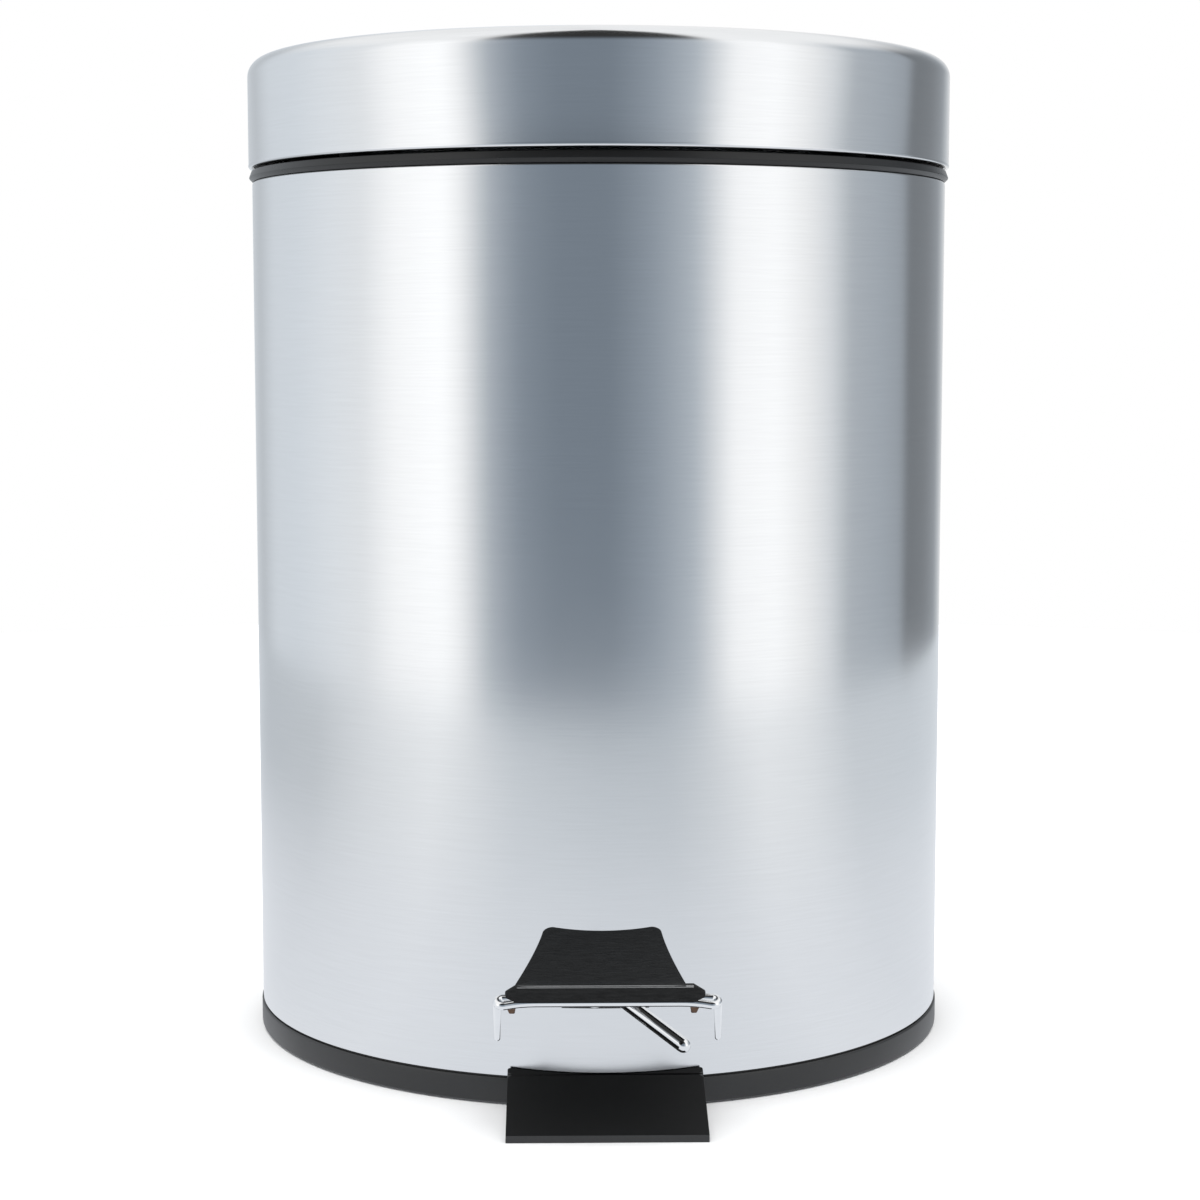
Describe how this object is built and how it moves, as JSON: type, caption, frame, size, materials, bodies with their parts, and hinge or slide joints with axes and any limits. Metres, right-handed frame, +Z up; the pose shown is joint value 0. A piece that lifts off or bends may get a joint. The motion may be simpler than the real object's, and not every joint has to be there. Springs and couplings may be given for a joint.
{
  "type": "pedal trash can",
  "caption": "Round steel pedal bin: a foot lever raises a hinged lid by a push rod over a lift-out bucket with a wire handle.",
  "frame": {"origin": "on the can's upright axis at floor level", "axes": "+Z up, -Y towards the pedal at the front, +X to the right of someone facing the pedal"},
  "size_m": [0.2052, 0.2458, 0.2835],
  "materials": {
    "satin_steel": "satin stainless sheet with soft broad reflections",
    "chrome_wire": "bright chrome plate",
    "zinc_steel": "zinc plated pressed steel",
    "black_plastic": "satin moulded plastic",
    "pad_vinyl": "finely crinkled vinyl",
    "black_rubber": "matte rubber",
    "bucket_plastic": "satin moulded plastic",
    "white_nylon": "moulded nylon",
    "brown_steel": "dark lacquered spring steel"
  },
  "bodies": {
    "can": {"body_shell": "satin_steel", "floor_pan": "zinc_steel", "base_ring": "black_plastic", "foot_ring": "black_rubber", "rim_ring": "black_plastic", "hinge_bracket": "satin_steel", "hinge_rivets": "zinc_steel", "hinge_pin": "zinc_steel", "slot_bezel": "black_plastic", "toe_plate": "black_plastic", "toe_plate_screws": "zinc_steel", "fulcrum_bracket": "zinc_steel", "fulcrum_rivets": "zinc_steel", "axle_pin": "zinc_steel", "axle_clips": "brown_steel", "axle_spacers": "white_nylon", "rod_guides": "black_plastic", "guide_rivets": "zinc_steel"},
    "lid": {"lid_cap": "satin_steel", "lid_liner": "black_plastic", "lid_bumpers": "black_rubber", "lid_bracket": "zinc_steel", "lid_screws": "zinc_steel", "lift_pin": "zinc_steel"},
    "pedal": {"pedal_lever": "zinc_steel", "pedal_frame": "chrome_wire", "stop_rod": "chrome_wire", "pedal_pad": "pad_vinyl", "pad_clips": "brown_steel", "pad_rivet": "zinc_steel"},
    "rod": {"push_rod": "zinc_steel", "rod_retainer": "black_plastic"},
    "bucket": {"inner_bucket": "bucket_plastic"},
    "bail": {"bucket_handle": "chrome_wire", "handle_grip": "black_plastic"}
  },
  "joints": [
    {"name": "lid_hinge", "type": "hinge", "parent": "can", "child": "lid", "pos_m": [0, 0.108, 0.25], "axis": [-1, 0, 0], "range_deg": [0, 80]},
    {"name": "pedal_pivot", "type": "hinge", "parent": "can", "child": "pedal", "pos_m": [0, -0.04, 0.021], "axis": [1, 0, 0], "range_deg": [0, 8.79]},
    {"name": "rod_pivot", "type": "hinge", "parent": "pedal", "child": "rod", "pos_m": [0, 0.09387, 0.01072], "axis": [1, 0, 0], "range_deg": [-8.79, 0]},
    {"name": "bucket_lift", "type": "slide", "parent": "can", "child": "bucket", "axis": [0, 0, 1], "range_m": [0, 0.01]},
    {"name": "handle_swing", "type": "hinge", "parent": "bucket", "child": "bail", "pos_m": [0, 0, 0.24455], "axis": [-1, 0, 0], "range_deg": [0, 12]}
  ],
  "couplings": [
    {"joint": "pedal_pivot", "follows": "lid_hinge", "ratio": 0.10983},
    {"joint": "rod_pivot", "follows": "lid_hinge", "ratio": -0.10983}
  ]
}
